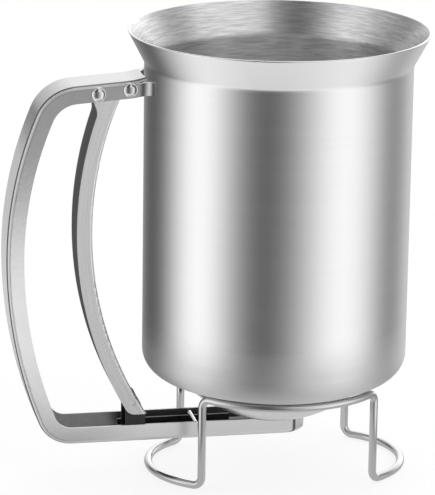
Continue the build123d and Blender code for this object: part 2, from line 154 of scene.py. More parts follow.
def calc(tree, operation, *values, clamp=False):
    """Math node on numbers or sockets; returns its result."""
    inputs = dict(enumerate(values))
    return node(tree, "ShaderNodeMath", inputs, operation=operation, use_clamp=clamp).outputs[0]


def vector_calc(tree, operation, first, second):
    """Vector math node; returns its vector."""
    inputs = {0: first, 1: second}
    return node(tree, "ShaderNodeVectorMath", inputs, operation=operation).outputs["Vector"]


def parts_of(tree, vector):
    """X, Y and Z of a vector."""
    return node(tree, "ShaderNodeSeparateXYZ", {"Vector": vector}).outputs


def vector_of(tree, x, y, z):
    """Vector with these parts."""
    return node(tree, "ShaderNodeCombineXYZ", {"X": x, "Y": y, "Z": z}).outputs["Vector"]


def length(tree, first, second):
    """Length of a flat vector with these two parts."""
    squares = [calc(tree, "MULTIPLY", part, part) for part in (first, second)]
    return calc(tree, "SQRT", calc(tree, "ADD", *squares))


def ramp(tree, value, low, high, to_low=0.0, to_high=1.0):
    """Smooth step of a value between two limits."""
    return node(
        tree,
        "ShaderNodeMapRange",
        {"Value": value, "From Min": low, "From Max": high, "To Min": to_low, "To Max": to_high},
        interpolation_type="SMOOTHSTEP",
    ).outputs["Result"]


def mix(tree, share, first, second, colour=False):
    """Blend of two numbers, or of two colours."""
    kind, low, high, out = ("RGBA", 6, 7, 2) if colour else ("FLOAT", 2, 3, 0)
    inputs = {0: share, low: first, high: second}
    return node(tree, "ShaderNodeMix", inputs, data_type=kind).outputs[out]


def noise(tree, position, scale, **inputs):
    """Noise texture at a position."""
    return node(tree, "ShaderNodeTexNoise", {"Vector": position, "Scale": scale, **inputs})


def new_group(name, inputs, outputs, kind="ShaderNodeTree"):
    """Node group with named sockets; inputs are (name, socket type, default)."""
    group = bpy.data.node_groups.new(name, kind)
    for label, socket_type, default in inputs:
        socket = group.interface.new_socket(label, in_out="INPUT", socket_type=socket_type)
        if default is not None:
            socket.default_value = default
    for label, socket_type in outputs:
        group.interface.new_socket(label, in_out="OUTPUT", socket_type=socket_type)
    if kind == "GeometryNodeTree":
        group.is_modifier = True
    return group, node(group, "NodeGroupInput").outputs, node(group, "NodeGroupOutput").inputs


def built_once(name):
    """Decorator: a node group is built on first use, and then found by its name."""
    return lambda build: lambda: bpy.data.node_groups.get(name) or build(name)


def effect(tree, group, position, values=None):
    """Place a shared effect on a position, with this material's own values."""
    inputs = {"Position": position, **(values or {})}
    return node(tree, "ShaderNodeGroup", inputs, node_tree=group).outputs


# ---- Shared surface effects --------------------------------------------------------------
@built_once("Turned position")
def turned_position(name):
    """Group: millimetre position whose third part runs across turned or spun lines."""
    group, given, result = new_group(
        name, [("Position", "NodeSocketVector", None)], [("Position", "NodeSocketVector")]
    )
    x, y, z = parts_of(group, given["Position"])
    across = calc(group, "ADD", z, length(group, x, y))
    group.links.new(vector_of(group, x, y, across), result["Position"])
    return group


@built_once("Curved position")
def curved_position(name):
    """Group: millimetre position laid out along a sheet that curves about a point on X, Z."""
    group, given, result = new_group(
        name,
        [
            ("Position", "NodeSocketVector", None),
            ("Centre", "NodeSocketVector", (60.0, 0.0, 80.0)),
        ],
        [("Position", "NodeSocketVector")],
    )
    x, y, z = parts_of(group, vector_calc(group, "SUBTRACT", given["Position"], given["Centre"]))
    across = length(group, x, z)
    turn = calc(group, "ARCTAN2", z, calc(group, "MULTIPLY", x, -1.0))
    along = calc(group, "MULTIPLY", turn, across)
    group.links.new(vector_of(group, across, y, along), result["Position"])
    return group


@built_once("Sheet bends")
def bend_group(name):
    """Group: masks of the painted shade and the painted highlight along the bend between a
    sheet's web and flanges.
    """
    group, given, result = new_group(
        name,
        [
            ("Position", "NodeSocketVector", None),
            ("Half Width", "NodeSocketFloat", 8.85),
            ("Bend", "NodeSocketFloat", 1.6),
        ],
        [("Painted Shade", "NodeSocketFloat"), ("Painted Highlight", "NodeSocketFloat")],
    )
    side = calc(group, "ABSOLUTE", parts_of(group, given["Position"])["Y"])
    short = calc(group, "SUBTRACT", given["Half Width"], side)
    bent = calc(group, "DIVIDE", short, given["Bend"])
    turn = calc(group, "SUBTRACT", 1.0, bent, clamp=True)
    # painted shade over the bend's middle, painted highlight where it meets the flange
    for label, rise, fall in (
        ("Painted Shade", (0.25, 0.4), (0.6, 0.72)),
        ("Painted Highlight", (0.66, 0.76), (0.96, 0.995)),
    ):
        mask = calc(
            group, "MULTIPLY", ramp(group, turn, *rise), ramp(group, turn, *fall, 1.0, 0.0)
        )
        group.links.new(mask, result[label])
    return group


@built_once("Brushed grain")
def grain_group(name):
    """Group: fine brushed lines and the wider bands that they form."""
    group, given, result = new_group(
        name,
        [
            ("Position", "NodeSocketVector", None),
            ("Line Frequency", "NodeSocketVector", (0.05, 0.05, 6.0)),
            ("Band Frequency", "NodeSocketVector", (0.02, 0.02, 0.9)),
        ],
        [("Lines", "NodeSocketFloat"), ("Bands", "NodeSocketFloat")],
    )
    for label, detail in (("Line", 5.0), ("Band", 3.0)):
        stretched = vector_calc(
            group, "MULTIPLY", given["Position"], given[f"{label} Frequency"]
        )
        pattern = noise(group, stretched, 1.0, Detail=detail, Roughness=0.6)
        group.links.new(ramp(group, pattern.outputs["Fac"], 0.28, 0.72), result[f"{label}s"])
    return group


@built_once("Handling marks")
def marks_group(name):
    """Group: faint smudges from handling and short fine scratches."""
    group, given, result = new_group(
        name,
        [
            ("Position", "NodeSocketVector", None),
            ("Smudge Size", "NodeSocketFloat", 18.0),
            ("Scratch Spacing", "NodeSocketFloat", 6.0),
            ("Scratch Width", "NodeSocketFloat", 0.012),
        ],
        [("Smudges", "NodeSocketFloat"), ("Scratches", "NodeSocketFloat")],
    )
    place, spacing = given["Position"], given["Scratch Spacing"]
    smudge = noise(
        group, place, calc(group, "DIVIDE", 1.0, given["Smudge Size"]), Detail=4.0, Distortion=0.8
    )
    group.links.new(ramp(group, smudge.outputs["Fac"], 0.45, 0.75), result["Smudges"])
    bent = noise(group, place, calc(group, "DIVIDE", 0.6, spacing), Detail=1.0)
    skewed = node(
        group,
        "ShaderNodeVectorMath",
        {0: bent.outputs["Color"], 1: (5.0, 5.0, 5.0), 2: place},
        operation="MULTIPLY_ADD",
    )
    cells = node(
        group,
        "ShaderNodeTexVoronoi",
        {"Vector": skewed.outputs[0], "Scale": calc(group, "DIVIDE", 1.0, spacing)},
        feature="DISTANCE_TO_EDGE",
    )
    line = ramp(group, cells.outputs["Distance"], 0.0, given["Scratch Width"], 1.0, 0.0)
    broken = ramp(group, bent.outputs["Fac"], 0.52, 0.6)
    group.links.new(calc(group, "MULTIPLY", line, broken), result["Scratches"])
    return group


# ---- Finishes ----------------------------------------------------------------------------
def toned(colour, tone):
    """Shader colour that is this much brighter or darker."""
    return [min(1.0, part * tone) for part in colour[:3]] + [1.0]


def zone(tree, place, reach, rise):
    """Mask that comes up along X over reach and ends along Z over rise."""
    x, _, z = parts_of(tree, place)
    return calc(tree, "MULTIPLY", ramp(tree, x, *reach), ramp(tree, z, *rise, 1.0, 0.0))


def hollow_side(tree, turned):
    """Mask that is 1 on the inside of the cup, or on the faces marked as inside a channel."""
    if not turned:
        return node(tree, "ShaderNodeAttribute", attribute_name="Inside").outputs["Fac"]
    given = node(tree, "ShaderNodeTexCoord").outputs
    outward = vector_calc(tree, "MULTIPLY", given["Object"], (1.0, 1.0, 0.0))
    facing = node(
        tree, "ShaderNodeVectorMath", {0: outward, 1: given["Normal"]}, operation="DOT_PRODUCT"
    )
    return calc(tree, "LESS_THAN", facing.outputs["Value"], 0.0)


def steel(name, colour, roughness, grain, bump, lines, bands, turned=False, marks=0.3,
          anisotropy=0.0, foot_roughness=None, inside=None, curved=None, folded=None,
          tray=False):
    """Steel finish: colour, roughness and relief vary with the brushed grain and the marks.

    lines and bands are the grain's lines per millimetre. inside is (tone, roughness, grain)
    for the faces inside a channel, which carry the Inside attribute, or inside the cup, where
    the finish is turned round the axis; inside a channel the tone is painted shade, and inside
    the cup it is painted light. curved is the point that the sheet curves about, and
    folded is half the channel's width and the outside radius of its bends, in millimetres;
    along each bend it places a band of painted shade and a band of painted highlight.
    foot_roughness is that of the cup's foot. tray is for the handle, whose lower run is painted
    brighter outside as a painted highlight, and painted dark round the gate inside as painted
    shade.
    """
    material = bpy.data.materials.new(name)
    material.use_nodes = True
    tree = material.node_tree
    tree.nodes.clear()
    place = node(
        tree,
        "ShaderNodeVectorMath",
        {0: node(tree, "ShaderNodeTexCoord").outputs["Object"], "Scale": 1 / MM},
        operation="SCALE",
    ).outputs[0]
    laid = place
    if turned:
        laid = effect(tree, turned_position(), place)["Position"]
    if curved:
        laid = effect(tree, curved_position(), place, {"Centre": curved})["Position"]
    brushed = effect(
        tree, grain_group(), laid, {"Line Frequency": lines, "Band Frequency": bands}
    )
    worn = effect(tree, marks_group(), place)
    shade = calc(
        tree,
        "ADD",
        calc(tree, "MULTIPLY", brushed["Lines"], LINE_SHARE),
        calc(tree, "MULTIPLY", brushed["Bands"], BAND_SHARE),
    )
    tint = mix(tree, shade, toned(colour, 1 - grain), toned(colour, 1 + grain), colour=True)
    if foot_roughness is not None:
        foot = ramp(tree, parts_of(tree, place)["Z"], *FOOT_RISE, 1.0, 0.0)
        roughness = mix(tree, foot, roughness, foot_roughness)
    # painted highlight on the outside of the handle's lower run
    if tray:
        painted_tray_light = zone(tree, place, TRAY_REACH, TRAY_RISE)
        tint = mix(tree, painted_tray_light, tint, toned(colour, TRAY_PAINTED_LIGHT), colour=True)
    # painted shade and a painted highlight along the bends
    if folded:
        bend = effect(
            tree, bend_group(), place, {"Half Width": folded[0], "Bend": folded[1]}
        )
        for label, tone in BEND_PAINTED_LIGHT.items():
            tint = mix(tree, bend[label], tint, toned(colour, tone), colour=True)
        roughness = mix(tree, bend["Painted Highlight"], roughness, BEND_HIGHLIGHT_ROUGHNESS)
    # inside a channel the tone is painted shade; inside the cup it is painted light
    if inside:
        tone, inner_roughness, inner_grain = inside
        if turned:
            shade = effect(tree, grain_group(), laid, {"Line Frequency": SCORED_LINES})["Lines"]
        dark, light = (toned(colour, tone * (1 + side * inner_grain)) for side in (-1, 1))
        inner = mix(tree, shade, dark, light, colour=True)
        # painted shade round the gate inside the handle's channel
        if tray:
            painted_gate_shade = zone(tree, place, GATE_REACH, GATE_RISE)
            inner = mix(tree, painted_gate_shade, inner, toned(colour, tone * GATE_ZONE_SHADE), colour=True)
        hollow = hollow_side(tree, turned)
        tint = mix(tree, hollow, tint, inner, colour=True)
        roughness = mix(tree, hollow, roughness, inner_roughness)
    uneven = calc(
        tree,
        "ADD",
        calc(tree, "MULTIPLY", brushed["Bands"], BAND_ROUGHNESS),
        calc(tree, "MULTIPLY", worn["Smudges"], marks * SMUDGE_ROUGHNESS),
    )
    varied = calc(tree, "MULTIPLY", roughness, calc(tree, "ADD", uneven, LEAST_ROUGHNESS))
    scratched = calc(tree, "MULTIPLY", worn["Scratches"], marks)
    relief = node(
        tree,
        "ShaderNodeBump",
        {
            "Strength": bump,
            "Distance": RELIEF_DEPTH,
            "Height": calc(tree, "SUBTRACT", brushed["Lines"], scratched),
        },
    )
    shader = node(
        tree,
        "ShaderNodeBsdfPrincipled",
        {
            "Base Color": tint,
            "Metallic": 1.0,
            "Roughness": varied,
            "Normal": relief.outputs["Normal"],
            "Anisotropic": anisotropy,
        },
    )
    if anisotropy:
        shader.inputs["Anisotropic Rotation"].default_value = 0.25
        tangent = node(tree, "ShaderNodeTangent", direction_type="RADIAL", axis="Z")
        tree.links.new(tangent.outputs["Tangent"], shader.inputs["Tangent"])
    node(tree, "ShaderNodeOutputMaterial", {"Surface": shader.outputs["BSDF"]})
    return material


def finish(name):
    """The named finish, made on first use from the panel's values."""
    if name in bpy.data.materials:
        return bpy.data.materials[name]
    s, sizes = bpy.context.scene.dispenser_finish, bpy.context.scene.dispenser_sizes
    looks = {
        "Spun cup steel": dict(
            tone=1.0, roughness=s.cup_roughness, grain=0.02, bump=0.15,
            lines=(0.04, 0.04, 5.0), bands=(0.012, 0.012, 0.5), turned=True,
            anisotropy=s.cup_anisotropy, foot_roughness=s.foot_roughness,
            # painted light: the cup's inside is painted a tenth brighter than its outside, to
            # stand for light reaching into it
            inside=(1.1, s.inside_roughness, 0.3),
        ),
        "Spun funnel steel": dict(
            tone=1.0, roughness=s.cup_roughness, grain=0.05, bump=0.4,
            lines=(0.04, 0.04, 4.0), bands=(0.012, 0.012, 0.8), turned=True,
            anisotropy=s.cup_anisotropy,
        ),
        "Pressed handle steel": dict(
            tone=s.handle_tone, roughness=s.handle_roughness, grain=0.02, bump=0.2,
            lines=(0.5, 8.0, 0.5), bands=(0.06, 1.2, 0.06), tray=True,
            # painted shade: the inside of the handle's channel is painted dark
            inside=(s.channel_painted_shade / s.handle_tone, s.channel_roughness, 0.1),
            folded=(sizes.handle_width / 2 / MM, sizes.handle_bend / MM),
        ),
        "Brushed lever steel": dict(
            tone=s.lever_tone, roughness=s.lever_roughness, grain=0.06, bump=0.3,
            lines=(2.6, 7.0, 0.07), bands=(0.7, 1.5, 0.02), marks=0.1,
            # painted shade: the inside of the lever's channel is painted darker still
            inside=(s.lever_inside_shade * s.channel_painted_shade, s.channel_roughness, 0.12),
            curved=(sizes.lever_curve[0] / MM, 0, sizes.lever_curve[1] / MM),
            folded=(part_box("trigger_lever")[1].y / MM, sizes.lever_bend / MM),
        ),
        # painted shade: the gate plate and yoke are painted dark for the shade inside the handle
        "Gate steel with painted shade": dict(
            tone=s.gate_painted_shade * s.channel_painted_shade, roughness=s.channel_roughness, grain=0.06,
            bump=0.4, lines=(0.3, 7.0, 3.0), bands=(0.05, 1.0, 0.4),
        ),
        "Polished rivet steel": dict(
            tone=s.rivet_tone, roughness=s.rivet_roughness, grain=0.02, bump=0.1,
            lines=(2.0, 2.0, 2.0), bands=(0.5, 0.5, 0.5),
        ),
        "Bright stand wire": dict(
            tone=s.wire_tone, roughness=s.wire_roughness, grain=0.03, bump=0.15,
            lines=(1.0, 1.0, 1.0), bands=(0.2, 0.2, 0.2),
        ),
        "Spring wire": dict(
            tone=1.0, roughness=s.wire_roughness, grain=0.05, bump=0.15,
            lines=(4.0, 4.0, 4.0), bands=(1.0, 1.0, 1.0),
        ),
    }
    if name not in looks:
        raise RuntimeError(f"no finish named {name}")
    look = looks[name]
    tone = look.pop("tone")
    return steel(name, [part * tone for part in s.steel_colour], **look)


# ---- Mesh helpers ------------------------------------------------------------------------
def handle_group():
    """Collection of the pieces that the handle's own lamps light."""
    name = "lit_handle"
    return bpy.data.collections.get(name) or bpy.data.collections.new(name)


def link(piece):
    bpy.context.scene.collection.objects.link(piece)
    return piece


def middle_of(node_name):
    """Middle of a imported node's box."""
    low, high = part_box(node_name)
    return (low + high) / 2


def dress(node_name, finish_name):
    """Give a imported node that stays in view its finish."""
    for slot in NODES[node_name].material_slots:
        slot.material = finish(finish_name)


def merged(node_name):
    """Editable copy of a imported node's mesh, with its loose triangles joined."""
    shape = bmesh.new()
    shape.from_mesh(NODES[node_name].data)
    bmesh.ops.remove_doubles(shape, verts=shape.verts, dist=MERGE_DISTANCE)
    return shape


def rounded_copy(name, node_name, width, material, inside):
    """Copy of a sheet part with its sharp edges rounded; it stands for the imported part.

    inside tells from a face's middle and normal whether it lies inside the channel.
    """
    shape = merged(node_name)
    bmesh.ops.dissolve_limit(
        shape, angle_limit=FLAT_ANGLE, verts=shape.verts, edges=shape.edges
    )
    sharp = [
        edge
        for edge in shape.edges
        if len(edge.link_faces) == 2 and edge.calc_face_angle() > CUT_ANGLE
    ]
    bmesh.ops.bevel(
        shape, geom=sharp, offset=width, segments=2, profile=0.5, affect="EDGES",
        clamp_overlap=True,
    )
    bmesh.ops.recalc_face_normals(shape, faces=shape.faces)
    mesh = bpy.data.meshes.new(name)
    clean = bpy.data.meshes.new(name + "_clean")
    shape.to_mesh(mesh)
    shape.free()
    clean.from_pydata(
        [v.co for v in mesh.vertices], [], [tuple(p.vertices) for p in mesh.polygons]
    )
    bpy.data.meshes.remove(mesh)
    clean.name = name
    clean.shade_smooth()
    clean.set_sharp_from_angle(angle=SHARP_ANGLE)
    clean.materials.append(material)
    mark = clean.attributes.new("Inside", "FLOAT", "FACE")
    mark.data.foreach_set(
        "value", [float(inside(face.center, face.normal)) for face in clean.polygons]
    )
    piece = link(bpy.data.objects.new(name, clean))
    even = piece.modifiers.new("Even shading", "WEIGHTED_NORMAL")
    even.keep_sharp = True
    bpy.context.view_layer.update()
    graph = bpy.context.evaluated_depsgraph_get()
    shaded = bpy.data.meshes.new_from_object(
        piece.evaluated_get(graph), preserve_all_data_layers=True, depsgraph=graph
    )
    piece.modifiers.remove(even)
    piece.data = shaded
    shaded.name = name
    return piece


def inside_channel(room, middle, side):
    """Test for a sheet's faces inside a channel with this much room between its flanges.

    side is 1 where the channel opens towards middle, and -1 where it opens away from it.
    """

    def inside(place, normal):
        if abs(normal.y) > 0.5:  # a flange
            return normal.y * place.y < 0
        return abs(place.y) < room / 2 and side * normal.dot(middle - place) > 0

    return inside


def arc(centre, x_axis, y_axis, radius, start, end, steps):
    """Points along an arc, both ends included."""
    turns = (start + (end - start) * i / steps for i in range(steps + 1))
    return [centre + x_axis * radius * cos(t) + y_axis * radius * sin(t) for t in turns]


def dressed(group, geometry, material):
    """Last nodes of a tree: smooth shading, real instances and their finish."""
    smooth = node(group, "GeometryNodeSetShadeSmooth", {"Geometry": geometry}).outputs[0]
    real = node(group, "GeometryNodeRealizeInstances", {"Geometry": smooth}).outputs[0]
    return node(
        group, "GeometryNodeSetMaterial", {"Geometry": real, "Material": material}
    ).outputs[0]


@built_once("Wire along a route")
def wire_tree(name):
    """Geometry nodes: round wire along a route."""
    group, given, result = new_group(
        name,
        [
            ("Route", "NodeSocketGeometry", None),
            ("Wire Radius", "NodeSocketFloat", 0.0015),
            ("Facets", "NodeSocketInt", 24),
            ("Finish", "NodeSocketMaterial", None),
        ],
        [("Wire", "NodeSocketGeometry")],
        kind="GeometryNodeTree",
    )
    section = node(
        group,
        "GeometryNodeCurvePrimitiveCircle",
        {"Resolution": given["Facets"], "Radius": given["Wire Radius"]},
    )
    tube = node(
        group,
        "GeometryNodeCurveToMesh",
        {"Curve": given["Route"], "Profile Curve": section.outputs["Curve"], "Fill Caps": True},
    )
    group.links.new(dressed(group, tube.outputs["Mesh"], given["Finish"]), result["Wire"])
    return group


def run_tree(carrier, tree, values, name):
    """Run a geometry node tree on a carrier object and return the plain mesh piece."""
    modifier = carrier.modifiers.new(tree.name, "NODES")
    modifier.node_group = tree
    for item in tree.interface.items_tree:
        if item.item_type == "SOCKET" and item.in_out == "INPUT" and item.name in values:
            modifier[item.identifier] = values[item.name]
    bpy.context.view_layer.update()
    graph = bpy.context.evaluated_depsgraph_get()
    mesh = bpy.data.meshes.new_from_object(carrier.evaluated_get(graph), depsgraph=graph)
    if not mesh.polygons:
        raise RuntimeError(f"{name} came out empty")
    carrier.modifiers.remove(modifier)
    bpy.data.objects.remove(carrier)
    mesh.name = name
    return link(bpy.data.objects.new(name, mesh))


def route_curve(name, points, closed):
    """Curve object that carries a route of points."""
    curve = bpy.data.curves.new(name, "CURVE")
    curve.dimensions = "3D"
    spline = curve.splines.new("POLY")
    spline.points.add(len(points) - 1)
    for point, place in zip(spline.points, points):
        point.co = (*place, 1.0)
    spline.use_cyclic_u = closed
    return link(bpy.data.objects.new(name, curve))


@built_once("Rivets on points")
def rivet_tree(name):
    """Geometry nodes: a shank and two domed heads on each point."""
    group, given, result = new_group(
        name,
        [
            ("Points", "NodeSocketGeometry", None),
            ("Head Radius", "NodeSocketFloat", 0.0025),
            ("Head Height", "NodeSocketFloat", 0.0012),
            ("Shank Radius", "NodeSocketFloat", 0.0013),
            ("Grip", "NodeSocketFloat", 0.0177),
            ("Finish", "NodeSocketMaterial", None),
        ],
        [("Rivets", "NodeSocketGeometry")],
        kind="GeometryNodeTree",
    )
    ball = node(
        group,
        "GeometryNodeMeshUVSphere",
        {"Segments": HEAD_SEGMENTS, "Rings": HEAD_RINGS, "Radius": 1.0},
    )
    x, y, z = parts_of(group, node(group, "GeometryNodeInputPosition").outputs[0])
    rise = calc(group, "MAXIMUM", z, calc(group, "MULTIPLY", z, HEAD_UNDERSIDE))
    domed = vector_of(
        group,
        calc(group, "MULTIPLY", x, given["Head Radius"]),
        calc(group, "MULTIPLY", y, given["Head Radius"]),
        calc(group, "MULTIPLY", rise, given["Head Height"]),
    )
    head = node(
        group, "GeometryNodeSetPosition", {"Geometry": ball.outputs["Mesh"], "Position": domed}
    ).outputs["Geometry"]
    shank = node(
        group,
        "GeometryNodeMeshCylinder",
        {"Vertices": SHANK_FACETS, "Radius": given["Shank Radius"], "Depth": given["Grip"]},
    ).outputs["Mesh"]
    half = calc(group, "MULTIPLY", given["Grip"], 0.5)
    rivet = node(group, "GeometryNodeJoinGeometry")
    for shape, side, turn in ((head, 1, -pi / 2), (head, -1, pi / 2), (shank, 0, pi / 2)):
        shift = vector_of(group, 0.0, calc(group, "MULTIPLY", half, side), 0.0)
        laid = node(
            group,
            "GeometryNodeTransform",
            {"Geometry": shape, "Translation": shift, "Rotation": (turn, 0, 0)},
        )
        group.links.new(laid.outputs["Geometry"], rivet.inputs[0])
    points = node(group, "GeometryNodeMeshToPoints", {"Mesh": given["Points"]}).outputs[0]
    placed = node(
        group,
        "GeometryNodeInstanceOnPoints",
        {"Points": points, "Instance": rivet.outputs["Geometry"]},
    ).outputs["Instances"]
    group.links.new(dressed(group, placed, given["Finish"]), result["Rivets"])
    return group


# ---- Settings ----------------------------------------------------------------------------
def factor(name, description, default, top=1):
    """Property between 0 and top."""
    return FloatProperty(
        name=name, description=description, subtype="FACTOR", min=0, max=top, default=default
    )


def measure(name, description, default):
    """Property for a length, whose default is given in millimetres."""
    return FloatProperty(
        name=name, description=description, unit="LENGTH", min=0, default=default * MM
    )


def brightness(name, description, default):
    """Property for the brightness of a light."""
    return FloatProperty(name=name, description=description, min=0, default=default)


def grey(name, description, default):
    """Property for a colour, which starts as an even grey."""
    return FloatVectorProperty(
        name=name, description=description, subtype="COLOR", size=3, min=0, max=1,
        default=(default, default, default),
    )


class DispenserFinish(bpy.types.PropertyGroup):
    """Steel finishes of the dispenser."""

    steel_colour: grey("Steel colour", "Base colour of the bare steel", 0.8)
    cup_roughness: factor("Cup roughness", "How soft reflections on the cup are", 0.22)
    cup_anisotropy: factor(
        "Cup anisotropy", "How far the spun lines draw reflections out upright", 0.8
    )
    foot_roughness: factor(
        "Cup foot roughness", "How soft reflections round the cup's foot are", 0.55
    )
    inside_roughness: factor(
        "Cup inside roughness", "How soft reflections inside the cup are", 0.37
    )
    # painted shade: the inside of the handle's channel is painted dark for the shade in it
    channel_painted_shade: factor("Channel painted shade", "Brightness of the dull steel inside the handle", 0.3)
    channel_roughness: factor(
        "Channel roughness", "How soft reflections inside the channels and on the gate are", 0.42
    )
    handle_tone: factor(
        "Handle tone", "Brightness of the handle's steel beside the cup's", 0.62, top=1.2
    )
    handle_roughness: factor("Handle roughness", "How soft reflections on the handle are", 0.2)
    lever_tone: factor(
        "Lever tone", "Brightness of the lever's steel beside the cup's", 1.17, top=1.2
    )
    lever_roughness: factor("Lever roughness", "How soft reflections on the lever are", 0.28)
    # painted shade: the lever's inside is painted darker than the handle's inside
    lever_inside_shade: factor(
        "Lever inside shade", "Brightness of the lever's inside beside the handle's inside", 0.55
    )
    # painted shade: the gate's steel is painted dark for the shade inside the handle
    gate_painted_shade: factor(
        "Gate painted shade", "Brightness of the gate's steel beside the handle's inside", 0.3
    )
    rivet_tone: factor("Rivet tone", "Brightness of the rivets' steel beside the cup's", 0.9)
    rivet_roughness: factor(
        "Rivet roughness", "How soft reflections on the rivets and guide pin are", 0.08
    )
    wire_tone: factor("Wire tone", "Brightness of the stand's wire beside the cup's steel", 0.8)
    wire_roughness: factor(
        "Wire roughness", "How soft reflections on the stand and spring are", 0.11
    )


class DispenserSizes(bpy.types.PropertyGroup):
    """Sizes of the pieces made here, and of the zones of their finishes."""

    edge_round: measure("Edge round", "Rounding of the cut sheet edges", 0.2)
    channel_room: measure("Channel room", "Width between the handle's flanges", 15.8)
    handle_width: measure("Handle width", "Outside width of the handle's channel", 17.7)
    handle_bend: measure("Handle bend", "Outside radius of the handle's bends", 1.6)
    lever_room: measure("Lever room", "Width between the lever's flanges", 12.1)
    lever_bend: measure("Lever bend", "Outside radius of the lever's bends", 1.0)
    lever_curve: FloatVectorProperty(
        name="Lever curve", description="Point on X and Z about which the lever curves",
        unit="LENGTH", size=2, default=(60.7 * MM, 95.5 * MM),
    )
    rivet_head_radius: measure("Rivet head radius", "Radius of the domed rivet heads", 2.8)
    rivet_head_height: measure("Rivet head height", "Height of the domed rivet heads", 1.7)
    rivet_shank_radius: measure(
        "Rivet shank radius", "Radius of the rivets inside the handle", 1.3
    )
    stand_wire: measure("Stand wire", "Diameter of the stand's wire", 3.0)
    wire_facets: IntProperty(
        name="Wire facets", description="Sides of the stand's round wire", min=8, default=20
    )


class StudioSettings(bpy.types.PropertyGroup):
    """Studio light, floor and camera."""

    room_level: brightness("Room level", "Brightness between the light panels", 0.125)
    left_panel: brightness("Left panel", "Strength of the left panel", 1.08)
    right_panel: brightness("Right panel", "Strength of the right panel", 1.06)
    rear_panel: brightness("Rear panel", "Strength of the rear panel", 0.5)
    ceiling: brightness("Ceiling", "Brightness overhead", 0.9)
    rear_lift: brightness("Rear lift", "Extra brightness above the horizon at the rear", 1.0)
    below: brightness("Below", "Brightness from below, as from the pale floor", 1.0)
    floor_colour: grey("Floor colour", "Colour of the floor that takes the shadow", 0.3)
    floor_lift: brightness(
        "Floor lift", "Light that brings the floor up to the white of the backdrop", 0.8
    )
    grip_lamp: brightness("Grip lamp", "Brightness of the soft lamp before the grip", 1.25)
    web_lamp: brightness("Web lamp", "Brightness of the soft lamp behind the grip", 0.62)
    floor_near: brightness(
        "Floor near", "Brightness that metal sees of the floor below the cup", 0.7
    )
    floor_ring: brightness(
        "Floor ring", "Brightness that metal sees of the floor round the cup", 0.6
    )
    floor_far: brightness(
        "Floor far", "Brightness that metal sees of the floor farther off", 0.33
    )
    camera_place: FloatVectorProperty(
        name="Camera place", description="Position of the camera",
        subtype="TRANSLATION", unit="LENGTH", size=3, default=(-0.250481, -1.131155, 0.4089),
    )
    camera_turn: FloatVectorProperty(
        name="Camera turn", description="Rotation of the camera", subtype="EULER",
        unit="ROTATION", size=3,
        default=(radians(74.38655), radians(-0.78377), radians(-11.18651)),
    )
    lens: FloatProperty(
        name="Lens", description="Focal length in millimetres", min=1, default=232.33
    )


